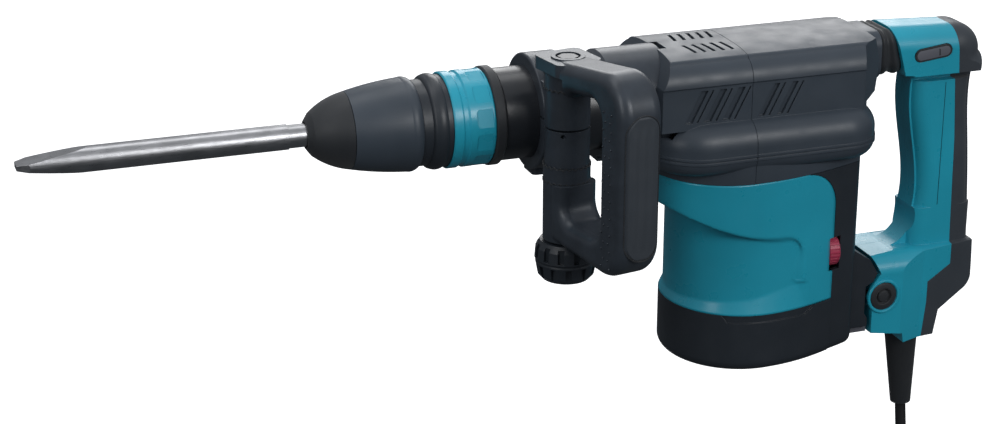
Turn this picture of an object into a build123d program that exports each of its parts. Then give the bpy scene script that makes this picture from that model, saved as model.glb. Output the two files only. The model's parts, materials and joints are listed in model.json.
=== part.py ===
from build123d import *
import math
import os

# Electric demolition hammer, in millimetres. While the pieces are drawn, X runs rearward from the
# front of the chuck, Z is up, and the hammer axis is the X axis. Each piece is then moved so that
# the centre of the rear grip is the origin.

# --- driving dimensions: frame and fits ---
GRIP_CENTRE = (545.0, 0.0, -70.0)
RUNNING_FIT = 0.05
BODY_GAP = 0.4
WALL = 3.5

# --- front end ---
SHANK_R = 9.0
BIT_TIP_X = -217.0
BIT_POINT_X = -159.0
BIT_REAR_X = 83.0
NOSE_SEAM_X = 31.9
SLEEVE_END_X = 84.5
WAIST_R = 33.6
HOLDER_R = 24.0
RING_FRONT_X = 107.7
RING_REAR_X = 141.1
RING_R = 37.8
BARREL_FRONT_X = 150.0
BARREL_R = 36.3
GEAR_CASE_R = 43.5
GEAR_CASE_FRONT_X = 234.0

# --- side handle ---
COLUMN = (189.0, -62.0)
COLUMN_R = 17.5
CLAMP_R = 46.0
CLAMP_FRONT_X = 177.0
CLAMP_REAR_X = 205.0
CLAMP_SPLIT_Z = 6.4
COLLAR_HEIGHT = 12.2
SIDE_HANDLE_TURN = -80.0
SIDE_REACH = 89.0
SIDE_GRIP_DEPTH = 34.0
SIDE_GRIP_WIDTH = 36.0
KNOB_R = 24.5
KNOB_TOP_Z = -85.5
KNOB_BOTTOM_Z = -117.0

# --- hammer mechanism ---
CYLINDER_R = 20.0
MOTOR_X = 358.0
MODULE = 1.2
PINION_TEETH = 10
GEAR_TEETH = 60
CRANK_X = MOTOR_X + MODULE * (PINION_TEETH + GEAR_TEETH) / 2
CRANK_THROW = 16.0
WRIST_X = 302.0
CRANK_PIN_X = CRANK_X - CRANK_THROW
ROD_HALF_HEIGHT = 6.0

# --- machine housing ---
HOUSING_FRONT_X = 272.5
COVER_SEAM_X = 349.0
HOUSING_REAR_X = 458.0
REAR_HALF_WIDTH = 38.0
HOUSING_TOP_Z = 42.5
UPPER_HALF_WIDTH = 52.0
BUMPER_HALF_WIDTH = 65.0
BUMPER_REAR_X = 466.0
BUMPER_TOP_Z = -9.0
BUMPER_RIDGE_Z = -40.0
BUMPER_BOTTOM_Z = -52.0
PANEL_BOTTOM_Z = -14.0
MOTOR_TOP_Z = -60.5
LOWER_HALF_WIDTH = 63.5
MOTOR_FRONT_X = 284.5
WAIST_FRONT_X = 304.5
BASE_FRONT_X = 301.0
WAIST_DEPTH = 4.5
BASE_SEAM_Z = -174.5
BASE_Z = -224.5
REAR_SEAM_X = 429.5
BASE_SCREWS = ((316, 0), (352, 46), (352, -46), (408, 34), (408, -34))
DIAL_CENTRE = (431.0, -37.0, -135.5)
DIAL_R = 13.5

# --- rear handle ---
PIVOT = (487.0, -186.5)
PIVOT_BOSS_R = 15.0
LUG_HALF_WIDTH = 17.0
ARM_HALF_WIDTH = 35.0
ARM_TOP_Z = -151.5
GRIP_HALF_WIDTH = 20.0
TOP_ARM_HALF_WIDTH = 26.5
SWITCH_CENTRE = (524.0, 20.5)
SWITCH_TRAVEL = 5.0

# --- cord ---
CORD_D = 9.5
GUARD_TOP = (526.5, -234.4)
GUARD_END = (531.0, -305.0)
FLOOR_Z = -385.0
COIL_MIDDLE_R = 5.5 * CORD_D
COIL_ROWS = 4
COIL_CENTRE = (560.0, -115.0)


def block(x0, x1, y0, y1, z0, z1):
    """A box between six planes."""
    return Pos((x0 + x1) / 2, (y0 + y1) / 2, (z0 + z1) / 2) * Box(x1 - x0, y1 - y0, z1 - z0)


def bar_x(x0, x1, radius, y=0.0, z=0.0):
    """A round bar along X."""
    return Pos((x0 + x1) / 2, y, z) * Rot(0, 90, 0) * Cylinder(radius, x1 - x0)


def bar_y(y0, y1, radius, x, z):
    """A round bar along Y."""
    return Pos(x, (y0 + y1) / 2, z) * Rot(90, 0, 0) * Cylinder(radius, y1 - y0)


def bar_z(z0, z1, radius, x=0.0, y=0.0):
    """A round bar along Z."""
    return Pos(x, y, (z0 + z1) / 2) * Cylinder(radius, z1 - z0)


def tube_z(z0, z1, outer, inner, x=0.0, y=0.0):
    """A round tube along Z."""
    return bar_z(z0, z1, outer, x, y) - bar_z(z0 - 1, z1 + 1, inner, x, y)


def turned(*outline):
    """A solid turned about the hammer axis from (x, radius) corners."""
    wire = Polyline(*[(x, 0, radius) for x, radius in outline], close=True)
    return revolve(make_face(wire), Axis.X)


def prism_y(outline, half_width):
    """A side-view outline of (x, z) corners, extruded to both sides."""
    wire = Polyline(*[(x, 0, z) for x, z in outline], close=True)
    return extrude(make_face(wire), amount=half_width, dir=(0, 1, 0), both=True)


def ring_of(shape, count, axis_point=(0, 0, 0), direction=(1, 0, 0), start=0.0):
    """Copies of a shape, evenly spaced about an axis."""
    axis = Axis(axis_point, direction)
    return [shape.rotate(axis, start + 360 / count * step) for step in range(count)]


# --- bit and tool holder ---

def chisel_bit():
    """Bull point: a round bar ground to two bevels, with the four grooves of an 18 mm shank."""
    body = bar_x(BIT_POINT_X - 40, -14, 9.8) + bar_x(-14.001, BIT_REAR_X - 1.5, SHANK_R)
    body += Pos(BIT_REAR_X - 0.751, 0, 0) * Rot(0, 90, 0) * Cone(SHANK_R, SHANK_R - 1.5, 1.5)
    body += bar_x(BIT_TIP_X, BIT_POINT_X - 39.999, 9.8)
    for side in (1, -1):
        wedge = Polyline(
            (BIT_TIP_X - 2, 0, side * 1.6), (BIT_POINT_X, 0, side * 10.6),
            (BIT_POINT_X, 0, side * 20), (BIT_TIP_X - 2, 0, side * 20), close=True)
        body -= extrude(make_face(wedge), amount=20, dir=(0, 1, 0), both=True)
    for side in (1, -1):
        cheek = Polyline(
            (BIT_TIP_X - 2, side * 5.0, 0), (BIT_TIP_X + 10, side * 9.9, 0),
            (BIT_TIP_X + 10, side * 20, 0), (BIT_TIP_X - 2, side * 20, 0), close=True)
        body -= extrude(make_face(cheek), amount=20, dir=(0, 0, 1), both=True)
    for side in (1, -1):
        groove = bar_x(43, 79, 3.3, 0, side * 9.8)
        body -= groove
        body -= block(20, BIT_REAR_X + 5, side * 8 - 2.2, side * 8 + 2.2, -2.6, 2.6)
    return body


def tool_holder():
    """Steel holder with the splined bore for the shank and the wider bore for the impact bolt."""
    body = turned(
        (7.5, 9.4), (7.5, 14), (34, 14), (34, 17), (71, 17), (84, 20), (84, HOLDER_R),
        (174, HOLDER_R), (174, 11.05), (86, 11.05), (84, 9.4))
    for side in (1, -1):
        body -= bar_x(43.9, 58.1, 3.05, 0, side * 9.8)
        body -= block(43.9, 58.1, -3.05, 3.05, side * 14 - 4.2, side * 14 + 4.2)
        body += block(22, 78, side * 8.4 - 1.1, side * 8.4 + 1.1, -1.9, 1.9)
    return body


def lock_rollers():
    """Two rollers that hold the bit by its closed grooves."""
    return [bar_x(44.2, 57.8, 3.0, 0, side * 9.8) for side in (1, -1)]


def nose_cap():
    """Rubber dust cap at the front of the chuck."""
    curve = Spline((4, 0, 16.8), (14, 0, 23.6), (NOSE_SEAM_X, 0, 30.0))
    wire = (
        Line((0, 0, 9.9), (0, 0, 11.3)) + Line((0, 0, 11.3), (4, 0, 16.8)) + curve
        + Line((NOSE_SEAM_X, 0, 30.0), (NOSE_SEAM_X, 0, 14.05))
        + Line((NOSE_SEAM_X, 0, 14.05), (7, 0, 14.05)) + Line((7, 0, 14.05), (5.5, 0, 9.9))
        + Line((5.5, 0, 9.9), (0, 0, 9.9)))
    return revolve(make_face(wire), Axis.X)


def release_sleeve():
    """Ribbed cover that slides back against its spring to free the bit."""
    front = NOSE_SEAM_X + BODY_GAP
    curve = Spline((front, 0, 30.1), (53, 0, 34.1), (76, 0, 36.6))
    wire = (
        Line((front, 0, 17.4), (front, 0, 30.1)) + curve
        + ThreePointArc((76, 0, 36.6), (81.8, 0, 36.2), (SLEEVE_END_X, 0, 34.2))
        + Line((SLEEVE_END_X, 0, 34.2), (SLEEVE_END_X, 0, WAIST_R + 0.3))
        + Line((SLEEVE_END_X, 0, WAIST_R + 0.3), (74, 0, WAIST_R + 0.3))
        + Line((74, 0, WAIST_R + 0.3), (62, 0, 31.5)) + Line((62, 0, 31.5), (62, 0, 17.4))
        + Line((62, 0, 17.4), (front, 0, 17.4)))
    body = revolve(make_face(wire), Axis.X)
    panel = block(44, 74, -6.2, 6.2, 34.2, 40)
    panel = Rot(0, -4.6, 0) * panel
    for copy in ring_of(panel, 8, start=22.5):
        body -= copy
    return body


def sleeve_spring():
    """Compression spring between the sleeve's hub and the collar."""
    path = Helix(4.2, 16.8, 24.5, center=(0, 0, 0), direction=(1, 0, 0))
    path = Pos(65, 0, 0) * path
    section = Plane(path @ 0, z_dir=path % 0) * Circle(1.2)
    return sweep(section, path)


def sleeve_collar():
    """Collar behind the sleeve: a waist, a rounded bulge and a skirt under the change ring."""
    wire = (
        Line((84.8, 0, HOLDER_R), (84.8, 0, WAIST_R)) + Line((84.8, 0, WAIST_R), (92.2, 0, WAIST_R))
        + ThreePointArc((92.2, 0, WAIST_R), (93.2, 0, 35.4), (95.4, 0, 36.6))
        + ThreePointArc((95.4, 0, 36.6), (99.5, 0, 37.5), (103.2, 0, 36.6))
        + Line((103.2, 0, 36.6), (103.8, 0, 35.9)) + Line((103.8, 0, 35.9), (111.6, 0, 35.9))
        + Line((111.6, 0, 35.9), (111.6, 0, HOLDER_R)) + Line((111.6, 0, HOLDER_R), (84.8, 0, HOLDER_R)))
    return revolve(make_face(wire), Axis.X)


def change_ring():
    """Ring that is pushed forward and turned to set the angle of the bit."""
    body = turned(
        (RING_FRONT_X, 36.2), (RING_FRONT_X, 37.0), (RING_FRONT_X + 1, RING_R), (115.0, RING_R),
        (116.2, 36.6), (119.6, 36.6), (121.0, RING_R), (140, RING_R), (RING_REAR_X, 37.0),
        (RING_REAR_X, HOLDER_R + RUNNING_FIT), (117, HOLDER_R + RUNNING_FIT), (117, 36.2))
    pad = block(126, 139, -8.0, 8.0, RING_R - 0.7, RING_R + 2)
    pad = fillet(pad.edges().filter_by(Axis.Z).group_by(Axis.X)[0], 4.5)
    for copy in ring_of(pad, 12, start=15):
        body -= copy
    return body


# --- barrel and clamp ---

def flange_ring():
    """Rubber ring at the front of the barrel."""
    body = turned(
        (141.5, HOLDER_R + 0.6), (141.5, 38.0), (142.5, 39.0), (148.6, 39.0), (149.6, 38.0),
        (149.6, HOLDER_R + 0.6))
    return body


def barrel():
    """Barrel that carries the tool holder at its front and the side-handle clamp outside."""
    body = turned(
        (BARREL_FRONT_X, HOLDER_R + RUNNING_FIT), (BARREL_FRONT_X, BARREL_R - 1),
        (BARREL_FRONT_X + 1, BARREL_R), (GEAR_CASE_FRONT_X - 2, BARREL_R),
        (GEAR_CASE_FRONT_X - 2, 34), (252, 34), (252, 27.5), (178, 27.5),
        (178, HOLDER_R + RUNNING_FIT))
    return body


def gear_case():
    """Round casting between the barrel and the housing."""
    body = turned(
        (GEAR_CASE_FRONT_X, 34), (GEAR_CASE_FRONT_X, 41.0), (GEAR_CASE_FRONT_X + 3.5, GEAR_CASE_R),
        (HOUSING_FRONT_X + 14, GEAR_CASE_R), (HOUSING_FRONT_X + 14, 27.5), (252, 27.5), (252, 34))
    body += block(236, 250, -8, 8, -46, -40) - bar_x(230, 260, 40)
    return body


def clamp_band():
    """Split band round the barrel whose two ends become the halves of the handle column."""
    x, y = COLUMN
    middle = (CLAMP_FRONT_X + CLAMP_REAR_X) / 2
    body = bar_x(CLAMP_FRONT_X, CLAMP_REAR_X, CLAMP_R)
    body = fillet(body.edges().filter_by(GeomType.CIRCLE), 1.8)
    body += bar_z(-23.4, 37.1, COLUMN_R, x, y)
    body += block(middle - 12.5, middle + 12.5, y, -20, -22, 34)
    foot = block(middle - 11, middle + 11, -12, 12, -50, -36)
    body += fillet(foot.edges().filter_by(Axis.Z), 4)
    body -= bar_x(CLAMP_FRONT_X - 5, CLAMP_REAR_X + 5, BARREL_R + 0.08)
    body -= bar_z(-60, 60, 6.3, x, y)
    body -= block(middle - 30, middle + 30, y - 30, -30, CLAMP_SPLIT_Z - 0.8, CLAMP_SPLIT_Z + 0.8)
    body -= bar_y(y - 30, y - 10, 1.6, x - 9, CLAMP_SPLIT_Z - 4)
    return body


def column_collars():
    """Serrated rings between the clamp column and the two eyes of the side handle."""
    x, y = COLUMN
    return [tube_z(z0, z0 + COLLAR_HEIGHT, COLUMN_R + 0.8, 6.3, x, y) for z0 in (37.5, -36.0)]


def side_frame_place():
    """Placement of the side handle: its own X points outward from the column."""
    return Pos(COLUMN[0], COLUMN[1], 0) * Rot(0, 0, SIDE_HANDLE_TURN)


def side_handle():
    """D-shaped side handle with an eye at each end of its column."""
    front = SIDE_REACH + SIDE_GRIP_DEPTH / 2
    back = SIDE_REACH - SIDE_GRIP_DEPTH / 2
    outer = make_face(Polyline((8, 60.5), (front, 73), (front, -87.5), (8, -84), close=True))
    outer = fillet(outer.vertices().group_by(Axis.X)[-1], 30)
    opening = make_face(Polyline((19.5, 40), (back, 46), (back, -60), (19.5, -63), close=True))
    opening = fillet(opening.vertices(), 13)
    frame = extrude(outer - opening, amount=SIDE_GRIP_WIDTH / 2, both=True)
    frame = Rot(90, 0, 0) * frame
    rims = frame.edges().filter_by(lambda edge: abs(edge.center().Y) > SIDE_GRIP_WIDTH / 2 - 0.1)
    frame = fillet(rims.filter_by(lambda edge: edge.center().X > 9), 9)
    frame -= block(-30, 21.5, -30, 30, -36.3, 50.3)
    top_eye = Pos(0, 0, 55.4) * fillet(Box(39, 39, 10.0).edges().filter_by(Axis.Z), 6)
    body = frame + top_eye + bar_z(50.4, 61.4, 13) + bar_z(-84, -36.4, COLUMN_R + 0.8)
    body -= bar_z(-90, 70, 6.3)
    body -= bar_z(57.4, 70, 9.6)
    body -= bar_z(-36.3, 50.3, 19.5)
    return side_frame_place() * body


def side_grip_pad():
    """Soft insert on the outer face of the side grip."""
    outer_face = SIDE_REACH + SIDE_GRIP_DEPTH / 2
    pad = block(outer_face + 0.05, outer_face + 2.2, -9, 9, -66, 41)
    pad = fillet(pad.edges().filter_by(Axis.X), 8.5)
    return side_frame_place() * pad


def handle_bolt():
    """Hexagon bolt down the column; the knob runs on its lower end."""
    head = extrude(Plane.XY.offset(57.5) * RegularPolygon(8.2, 6), amount=3.4)
    body = head + bar_z(KNOB_BOTTOM_Z + 9, 57.6, 6.0)
    return side_frame_place() * body


def clamp_knob():
    """Grooved knob that tightens the band and the side handle together."""
    x, y = COLUMN
    profile = Polyline(
        (0, 0, KNOB_TOP_Z), (KNOB_R - 4, 0, KNOB_TOP_Z), (KNOB_R - 0.8, 0, KNOB_TOP_Z - 5),
        (KNOB_R, 0, -100), (KNOB_R - 1, 0, -101.5), (KNOB_R - 0.6, 0, -103), (KNOB_R - 2.4, 0, -113),
        (KNOB_R - 6, 0, KNOB_BOTTOM_Z), (0, 0, KNOB_BOTTOM_Z), close=True)
    body = revolve(make_face(profile), Axis.Z)
    notch_top = block(KNOB_R - 3.2, KNOB_R + 3, -2.4, 2.4, -99, KNOB_TOP_Z - 2.5)
    notch_low = block(KNOB_R - 4.6, KNOB_R + 3, -2.2, 2.2, -116, -104)
    for copy in ring_of(notch_top, 12, direction=(0, 0, 1)):
        body -= copy
    for copy in ring_of(notch_low, 12, direction=(0, 0, 1), start=15):
        body -= copy
    body -= bar_z(KNOB_BOTTOM_Z + 8, KNOB_TOP_Z + 1, 6.0 + RUNNING_FIT)
    return Pos(x, y, 0) * body


# --- hammer mechanism ---

def impact_bolt():
    """Bolt that passes each blow from the striker to the bit."""
    return turned((83.3, 0), (83.3, 8), (84.3, 8.9), (96, 8.9), (99, 11), (180, 11), (180, 15),
                  (186, 15), (186, 0))


def cylinder():
    """Hard cylinder in which the striker and the piston run."""
    return turned((188, CYLINDER_R + RUNNING_FIT), (188, 24), (345, 24), (345, CYLINDER_R + RUNNING_FIT))


def cylinder_rings():
    """Three rubber rings that seat the cylinder in the barrel."""
    return [turned((x, 24), (x, 27.5), (x + 4, 27.5), (x + 4, 24)) for x in (196, 222, 246)]


def striker():
    """Free piston thrown forward by the air spring."""
    return turned((186.6, 0), (186.6, 9), (188, 10.5), (196, 10.5), (198, CYLINDER_R),
                  (247, CYLINDER_R), (247, 12), (230, 10), (230, 0))


def piston():
    """Driven piston, open at the rear for the small end of the rod."""
    body = bar_x(276, 316, CYLINDER_R)
    body -= block(289, 320, -13.5, 13.5, -8, 8)
    body -= bar_z(-25, 25, 5, WRIST_X)
    return body


def wrist_pin():
    """Pin that joins the piston and the rod."""
    return bar_z(-16, 16, 5, WRIST_X)


def connecting_rod():
    """Rod between the wrist pin and the crank pin."""
    half = ROD_HALF_HEIGHT
    body = bar_z(-half, half, 8.5, WRIST_X) + bar_z(-half, half, 12, CRANK_PIN_X)
    body += block(WRIST_X, CRANK_PIN_X, -6, 6, -half, half)
    body -= bar_z(-10, 10, 5 + RUNNING_FIT, WRIST_X) + bar_z(-10, 10, 6.6, CRANK_PIN_X)
    return body


def toothed_wheel(teeth, z0, z1, start=0.0):
    """Spur wheel with straight-flanked teeth, slim enough to run with backlash."""
    pitch_r = MODULE * teeth / 2
    root_r = pitch_r - 0.95 * MODULE
    tip_r = pitch_r + 0.5 * MODULE
    root_half = 0.56 * MODULE
    tip_half = 0.34 * MODULE
    tooth_outline = Polyline(
        (root_r - 1, -root_half), (root_r, -root_half), (tip_r, -tip_half), (tip_r, tip_half),
        (root_r, root_half), (root_r - 1, root_half), close=True)
    tooth = Pos(0, 0, z0) * extrude(make_face(tooth_outline), amount=z1 - z0)
    wheel = bar_z(z0, z1, root_r)
    return wheel.fuse(*ring_of(tooth, teeth, direction=(0, 0, 1), start=start))


def crankshaft():
    """Crank with its web and pin; the pin stops short of the eye of the rod."""
    body = bar_z(-58, -21.9, 8) + bar_z(-33, -21.9, 10) + bar_z(-22, -12, 24)
    body += bar_z(-12.1, -ROD_HALF_HEIGHT - 0.5, 6, -CRANK_THROW)
    return Pos(CRANK_X, 0, 0) * body


def crank_gear():
    """Large gear on the crankshaft, lightened by six holes."""
    wheel = toothed_wheel(GEAR_TEETH, -46, -34, 360 / GEAR_TEETH / 2)
    for copy in ring_of(bar_z(-50, -30, 6, 22), 6, direction=(0, 0, 1)):
        wheel -= copy
    wheel -= bar_z(-50, -30, 8)
    return Pos(CRANK_X, 0, 0) * wheel


def ball_bearing(z0, z1, outer, inner, x):
    """Sealed ball bearing, drawn as one ring with a shallow seal groove on each face."""
    middle = (outer + inner) / 2
    ring = tube_z(z0, z1, outer, inner)
    for z in (z0, z1):
        ring -= tube_z(z - 0.5, z + 0.5, middle + 2, middle - 2)
    return Pos(x, 0, 0) * ring


def ball_bearings():
    """The two bearings of the crankshaft and the two of the motor shaft."""
    return [
        ball_bearing(-33, -23, 20, 10, CRANK_X), ball_bearing(-58, -47.4, 17, 8, CRANK_X),
        ball_bearing(-60, -50, 16, 5, MOTOR_X), ball_bearing(-204, -194, 13, 5, MOTOR_X)]


def crank_housing():
    """Casting that carries the cylinder, the crank and the upper end of the motor."""
    body = block(297, 445, -42, 42, -60, 26)
    body += bar_x(293.5, 300, 36)
    body -= bar_x(280, 350, 24)
    body -= block(349, 441, -38.5, 38.5, -22.6, 27)
    body -= block(349, 441, -38.5, 38.5, -47, -33.1)
    body -= bar_z(-34, -22, 20, CRANK_X)
    body -= bar_z(-58.2, -46, 17, CRANK_X)
    body -= bar_z(-60.5, -46, 16, MOTOR_X)
    lower_corners = block(270, 460, -50, 50, -90, BUMPER_BOTTOM_Z + 6)
    lower_corners -= lower_block(MOTOR_FRONT_X, LOWER_HALF_WIDTH, -91, BUMPER_BOTTOM_Z + 7, WALL + 0.5)
    return body - lower_corners


def crank_cover():
    """Lid over the crank chamber."""
    body = block(330, 445, -42, 42, 26, 29.5)
    return fillet(body.edges().filter_by(Axis.Z), 6)


# --- motor ---

def armature_shaft():
    """Motor shaft with the pinion cut on its upper end."""
    body = toothed_wheel(PINION_TEETH, -46.5, -33.6, 0.0) + bar_z(-206, -46.4, 5)
    return Pos(MOTOR_X, 0, 0) * body


def armature_core():
    """Laminated core with winding slots."""
    core = tube_z(-152, -92, 27, 5)
    slot = block(22, 30, -1.2, 1.2, -160, -80)
    for copy in ring_of(slot, 12, direction=(0, 0, 1)):
        core -= copy
    return Pos(MOTOR_X, 0, 0) * core


def armature_windings():
    """Winding heads at both ends of the core."""
    heads = [tube_z(-92, -84, 24, 5), tube_z(-162, -152, 24, 5)]
    return [Pos(MOTOR_X, 0, 0) * fillet(head.edges().sort_by(SortBy.LENGTH)[-2:], 3) for head in heads]


def commutator():
    """Commutator with its bars."""
    body = tube_z(-188, -166, 17, 5)
    slot = block(15.8, 18, -0.3, 0.3, -190, -160)
    for copy in ring_of(slot, 16, direction=(0, 0, 1)):
        body -= copy
    return Pos(MOTOR_X, 0, 0) * body


def cooling_fan():
    """Fan at the upper end of the armature."""
    body = tube_z(-80, -77.5, 42, 5) + tube_z(-80, -66, 11, 5)
    blade = block(10, 41, -0.9, 0.9, -77.6, -67)
    for copy in ring_of(blade, 14, direction=(0, 0, 1)):
        body += copy
    return Pos(MOTOR_X, 0, 0) * body


def stator_core():
    """Field core of the motor."""
    ring = tube_z(-152, -92, 47, 40)
    pole = block(-20, 20, 27.8, 41, -152, -92) - bar_z(-160, -80, 27.8)
    return Pos(MOTOR_X, 0, 0) * (ring + pole + pole.rotate(Axis.Z, 180))


def field_coils():
    """Field windings on both poles, above and below the core."""
    coils = []
    for z0, z1 in ((-91.8, -83), (-161, -152.2)):
        half = tube_z(z0, z1, 43, 31) - block(-60, 60, -9, 9, z0 - 1, z1 + 1)
        coils += [Pos(MOTOR_X, 0, 0) * solid for solid in half.solids()]
    return coils


def brush_holders():
    """Two brass brush tubes."""
    holders = []
    for side in (1, -1):
        tube = block(MOTOR_X - 6.5, MOTOR_X + 6.5, 19, 44, -183, -171)
        tube -= block(MOTOR_X - 5.1, MOTOR_X + 5.1, 18, 45, -181.6, -172.4)
        holders.append(tube if side > 0 else tube.mirror(Plane.XZ))
    return holders


def carbon_brushes():
    """Two carbon brushes."""
    brushes = []
    for side in (1, -1):
        brush = block(MOTOR_X - 5, MOTOR_X + 5, 17.3, 34, -181.5, -172.5)
        brushes.append(brush if side > 0 else brush.mirror(Plane.XZ))
    return brushes


# --- housings ---

def upper_section(inset=0.0):
    """Cross-section of the upper housing at the hammer axis, seen from the front."""
    top = HOUSING_TOP_Z - inset
    side = UPPER_HALF_WIDTH - inset
    bottom = PANEL_BOTTOM_Z - 2 * inset
    crown = (0, 37.5 - inset, top - 2.2)
    crease = (0, 42 - inset, top - 5)
    groove = (0, side + 0.6, 21.2)
    half = (
        Line((0, 0, top), (0, 12, top)) + ThreePointArc((0, 12, top), (0, 25, top - 0.6), crown)
        + ThreePointArc(crown, (0, 40.4 - inset, top - 3.2), crease)
        + ThreePointArc(crease, (0, 49.3 - inset, top - 11.5), groove)
        + Line(groove, (0, side - 0.7, 20.2)) + Line((0, side - 0.7, 20.2), (0, side - 0.7, bottom))
        + Line((0, side - 0.7, bottom), (0, 0, bottom)) + Line((0, 0, bottom), (0, 0, top)))
    face = make_face(half)
    return face + face.mirror(Plane.XZ)


def upper_block(inset=0.0):
    """Upper housing as a solid, with its slanted front and its waisted rear."""
    section = upper_section(inset)
    body = extrude(section, amount=260, dir=(1, 0, 0))
    body = Pos(250, 0, 0) * body
    front = HOUSING_FRONT_X + inset
    rear = HOUSING_REAR_X - inset
    profile = prism_y(
        [(front, -70), (front, 21), (front + 13, HOUSING_TOP_Z + 2), (rear + 6, HOUSING_TOP_Z + 2),
         (rear + 14, 20), (rear + 10, -4), (rear, -10), (rear, -70)], 80)
    body = body & profile
    plan = Polyline(
        (front - 5, -70, 0), (rear - 16, -70, 0), (rear - 6, -42 + inset, 0), (rear + 20, -27 + inset, 0),
        (rear + 20, 27 - inset, 0), (rear - 6, 42 - inset, 0), (rear - 16, 70, 0), (front - 5, 70, 0),
        close=True)
    body = body & (Pos(0, 0, -80) * extrude(make_face(plan), amount=140))
    return body


def bumper_block(inset=0.0):
    """Rounded bulge round the housing below the side panels."""
    front = HOUSING_FRONT_X + inset
    rear = BUMPER_REAR_X - inset
    half = BUMPER_HALF_WIDTH - inset
    plan = make_face(Polyline(
        (front, -half), (rear, -half), (rear, half), (front, half), close=True))
    plan = fillet(plan.vertices().group_by(Axis.X)[0], 42 - inset)
    plan = fillet(plan.vertices().group_by(Axis.X)[-1], 34 - inset)
    height = BUMPER_TOP_Z - BUMPER_BOTTOM_Z - 2 * inset
    body = Pos(0, 0, BUMPER_BOTTOM_Z + inset) * extrude(plan, amount=height)
    top_edges = body.edges().group_by(Axis.Z)[-1]
    body = fillet(top_edges, 20 - inset)
    low_edges = body.edges().group_by(Axis.Z)[0]
    return fillet(low_edges, 13 - inset)


def ridge_ring():
    """Two thin beads that run round the bulge."""
    front = HOUSING_FRONT_X - 0.7
    rear = BUMPER_REAR_X + 0.7
    half = BUMPER_HALF_WIDTH + 0.7
    plan = make_face(Polyline((front, -half), (rear, -half), (rear, half), (front, half), close=True))
    plan = fillet(plan.vertices().group_by(Axis.X)[0], 42.7)
    plan = fillet(plan.vertices().group_by(Axis.X)[-1], 34.7)
    beads = extrude(plan, amount=2.0)
    beads += Pos(0, 0, 3.2) * beads
    return Pos(0, 0, BUMPER_RIDGE_Z) * beads


def louvre(x, z0, z1, lean, width, depth):
    """Slanted slot on each side panel."""
    outline = [(x, z0), (x + width, z0), (x + width + lean, z1), (x + lean, z1)]
    slot = prism_y(outline, 70)
    inner = prism_y([(p[0], p[1]) for p in outline], UPPER_HALF_WIDTH - 0.7 - depth)
    return slot - inner


def upper_shell():
    """Both covers of the upper housing before they are parted at their seam."""
    skirt_top = BUMPER_BOTTOM_Z + 8
    body = upper_block() + bumper_block() + ridge_ring()
    body += lower_block(MOTOR_FRONT_X, LOWER_HALF_WIDTH, MOTOR_TOP_Z + 0.3, skirt_top)
    neck = block(450, 476, -26.5, 26.5, 1, 41.5)
    neck = fillet(neck.edges().filter_by(Axis.X), 12)
    body += neck
    body -= upper_block(WALL) + bumper_block(WALL)
    body -= lower_block(MOTOR_FRONT_X, LOWER_HALF_WIDTH, MOTOR_TOP_Z - 1, skirt_top - 3, WALL)
    body -= bar_x(HOUSING_FRONT_X - 5, HOUSING_FRONT_X + 20, GEAR_CASE_R + RUNNING_FIT)
    body -= block(440, 480, -20, 20, 8, 37)
    for x in (292, 308, 324):
        body -= louvre(x, -8, 17.6, 13, 6, 2.5)
        body -= louvre(x + 9.5, -8, 17.6, 13, 1.4, 1.5)
    for x in (355, 371):
        body -= louvre(x, -8, 17.6, 13, 5, 2.5)
        body -= louvre(x + 8.5, -8, 17.6, 13, 1.4, 1.5)
    for step in range(5):
        slot = Pos(309 + 8 * step, 17, 45) * Rot(0, 0, -8) * Box(2.8, 20, 60)
        body -= slot
        body -= slot.mirror(Plane.XZ)
    return body


def front_cover(shell):
    """Front half of the upper housing."""
    return shell & block(200, COVER_SEAM_X - 0.15, -100, 100, -100, 100)


def rear_top_cover(shell):
    """Rear half of the upper housing, up to the bellows."""
    return shell & block(COVER_SEAM_X + 0.15, 600, -100, 100, -100, 100)


def lower_plan(front, half_width, inset=0.0):
    """Plan of the lower housing: a round front, sides that narrow, and a flat back."""
    half = half_width - inset
    widest = front + half_width
    rear = HOUSING_REAR_X - inset
    rear_half = REAR_HALF_WIDTH - inset
    bow = ThreePointArc((widest, half), (front + inset, 0), (widest, -half))
    left = Spline((widest, -half), (rear, -rear_half), tangents=((1, 0), (0.93, 0.37)))
    right = Spline((widest, half), (rear, rear_half), tangents=((1, 0), (0.93, -0.37)))
    back = Line((rear, -rear_half), (rear, rear_half))
    face = make_face(bow + left + back + right)
    return fillet(face.vertices().group_by(Axis.X)[-1], 11 - inset / 2)


def lower_block(front, half_width, z0, z1, inset=0.0):
    """Lower housing between two heights."""
    return Pos(0, 0, z0) * extrude(lower_plan(front, half_width, inset), amount=z1 - z0)


def teal_side():
    """Side view of the motor housing: its rear edge turns forward under the bulge."""
    wire = (
        Line((200, 0, BASE_SEAM_Z), (REAR_SEAM_X, 0, BASE_SEAM_Z))
        + Line((REAR_SEAM_X, 0, BASE_SEAM_Z), (REAR_SEAM_X, 0, -94))
        + ThreePointArc((REAR_SEAM_X, 0, -94), (420.5, 0, -70.5), (398, 0, MOTOR_TOP_Z))
        + Line((398, 0, MOTOR_TOP_Z), (200, 0, MOTOR_TOP_Z))
        + Line((200, 0, MOTOR_TOP_Z), (200, 0, BASE_SEAM_Z)))
    return extrude(make_face(wire), amount=100, dir=(0, 1, 0), both=True)


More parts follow.
